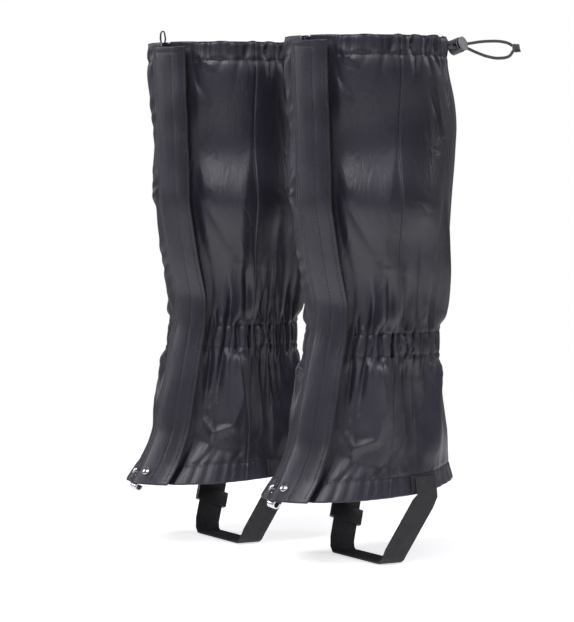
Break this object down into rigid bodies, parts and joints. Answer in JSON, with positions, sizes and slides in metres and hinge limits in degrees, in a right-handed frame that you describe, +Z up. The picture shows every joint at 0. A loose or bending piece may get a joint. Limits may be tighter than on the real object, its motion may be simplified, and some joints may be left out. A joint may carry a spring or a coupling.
{
  "type": "gaiters",
  "caption": "Pair of hiking gaiters with a zip under a storm flap, elastic ankle and hem, top drawcord with cord lock, lace hook and foot strap.",
  "frame": {"origin": "on the left leg's axis, at the middle of the left gaiter's ankle elastic", "axes": "+Z up the leg, the toes point to -Y, +X towards the wearer's left"},
  "size_m": [0.322, 0.2941, 0.4885],
  "materials": {
    "shell_cloth": "thin coated woven polyester, charcoal, slight sheen, gathered",
    "lining_cloth": "woven polyester binding, matt",
    "elastic": "braided flat elastic, matt black",
    "closure_tape": "hook and loop tape, matt black",
    "zip_tape": "woven zip tape with moulded teeth, black",
    "zip_metal": "dull plated zinc casting",
    "zip_plastic": "moulded acetal, black",
    "steel": "bright plated steel",
    "cord": "braided polyester cord, dark grey",
    "lock_plastic": "moulded nylon, dark grey",
    "webbing": "woven nylon webbing, black"
  },
  "bodies": {
    "left_gaiter": {"left_side_panel": "shell_cloth", "left_back_panel": "shell_cloth", "left_inner_panel": "shell_cloth", "left_top_hem": "lining_cloth", "left_ankle_casing": "lining_cloth", "left_bottom_hem": "lining_cloth", "left_ankle_elastic": "elastic", "left_hem_elastic": "elastic", "left_drawcord": "cord", "left_zip_outer_half": "zip_tape", "left_zip_inner_half": "zip_tape", "left_zip_bottom_box": "zip_plastic", "left_flap_loop_tape": "closure_tape", "left_cord_upper_strand": "cord", "left_cord_lower_strand": "cord", "left_cord_knot": "cord", "left_foot_strap": "webbing", "left_strap_patch_outer": "webbing", "left_strap_patch_inner": "webbing"},
    "left_storm_flap": {"left_storm_flap": "shell_cloth", "left_flap_hook_tape": "closure_tape", "left_lace_hook": "steel", "left_hook_rivet_inner": "steel", "left_hook_rivet_outer": "steel"},
    "left_zip_slider": {"left_zip_slider": "zip_metal"},
    "left_zip_pull": {"left_zip_pull": "zip_metal"},
    "left_cord_lock": {"left_cord_lock_body": "lock_plastic", "left_cord_lock_spring": "steel"},
    "left_cord_lock_button": {"left_cord_lock_button": "lock_plastic"},
    "left_strap_adjuster": {"left_strap_adjuster": "lock_plastic"},
    "right_gaiter": {"right_side_panel": "shell_cloth", "right_back_panel": "shell_cloth", "right_inner_panel": "shell_cloth", "right_top_hem": "lining_cloth", "right_ankle_casing": "lining_cloth", "right_bottom_hem": "lining_cloth", "right_ankle_elastic": "elastic", "right_hem_elastic": "elastic", "right_drawcord": "cord", "right_zip_outer_half": "zip_tape", "right_zip_inner_half": "zip_tape", "right_zip_bottom_box": "zip_plastic", "right_flap_loop_tape": "closure_tape", "right_cord_upper_strand": "cord", "right_cord_lower_strand": "cord", "right_cord_knot": "cord", "right_foot_strap": "webbing", "right_strap_patch_outer": "webbing", "right_strap_patch_inner": "webbing"},
    "right_storm_flap": {"right_storm_flap": "shell_cloth", "right_flap_hook_tape": "closure_tape", "right_lace_hook": "steel", "right_hook_rivet_inner": "steel", "right_hook_rivet_outer": "steel"},
    "right_zip_slider": {"right_zip_slider": "zip_metal"},
    "right_zip_pull": {"right_zip_pull": "zip_metal"},
    "right_cord_lock": {"right_cord_lock_body": "lock_plastic", "right_cord_lock_spring": "steel"},
    "right_cord_lock_button": {"right_cord_lock_button": "lock_plastic"},
    "right_strap_adjuster": {"right_strap_adjuster": "lock_plastic"}
  },
  "joints": [
    {"name": "left_storm_flap_hinge", "type": "hinge", "parent": "left_gaiter", "child": "left_storm_flap", "pos_m": [-0.005, -0.1115, -0.139], "axis": [0, -0.0646, -0.9979], "range_deg": [0, 90]},
    {"name": "left_zip_slider_slide", "type": "slide", "parent": "left_gaiter", "child": "left_zip_slider", "axis": [-0.0001, 0.0415, -0.9991], "range_m": [0, 0.14]},
    {"name": "left_zip_pull_hinge", "type": "hinge", "parent": "left_zip_slider", "child": "left_zip_pull", "pos_m": [0.01599, -0.0841, 0.2749], "axis": [-0.9744, -0.2247, -0.0093], "range_deg": [0, 4]},
    {"name": "left_cord_lock_slide", "type": "slide", "parent": "left_gaiter", "child": "left_cord_lock", "axis": [-0.4226, 0.9063, 0], "range_m": [0, 0.006]},
    {"name": "left_cord_lock_button_slide", "type": "slide", "parent": "left_cord_lock", "child": "left_cord_lock_button", "axis": [-0.862, -0.4019, -0.309], "range_m": [0, 0.002], "stiffness_N_per_m": 900, "springref_m": -0.003},
    {"name": "left_strap_adjuster_slide", "type": "slide", "parent": "left_gaiter", "child": "left_strap_adjuster", "axis": [0.308, -0.367, -0.8778], "range_m": [-0.01, 0.01]},
    {"name": "right_gaiter_step", "type": "slide", "parent": "left_gaiter", "child": "right_gaiter", "axis": [0, 1, 0], "range_m": [-0.3, 0.3]},
    {"name": "right_storm_flap_hinge", "type": "hinge", "parent": "right_gaiter", "child": "right_storm_flap", "pos_m": [-0.18, -0.1615, -0.139], "axis": [0, -0.0646, -0.9979], "range_deg": [0, 90]},
    {"name": "right_zip_slider_slide", "type": "slide", "parent": "right_gaiter", "child": "right_zip_slider", "axis": [-0.0001, 0.0415, -0.9991], "range_m": [0, 0.14]},
    {"name": "right_zip_pull_hinge", "type": "hinge", "parent": "right_zip_slider", "child": "right_zip_pull", "pos_m": [-0.15901, -0.1341, 0.2749], "axis": [0.9744, 0.2247, 0.0093], "range_deg": [0, 80]},
    {"name": "right_cord_lock_slide", "type": "slide", "parent": "right_gaiter", "child": "right_cord_lock", "axis": [-0.4226, 0.9063, 0], "range_m": [0, 0.006]},
    {"name": "right_cord_lock_button_slide", "type": "slide", "parent": "right_cord_lock", "child": "right_cord_lock_button", "axis": [-0.862, -0.4019, -0.309], "range_m": [0, 0.002], "stiffness_N_per_m": 900, "springref_m": -0.003},
    {"name": "right_strap_adjuster_slide", "type": "slide", "parent": "right_gaiter", "child": "right_strap_adjuster", "axis": [0.308, -0.367, -0.8778], "range_m": [-0.01, 0.01]}
  ]
}
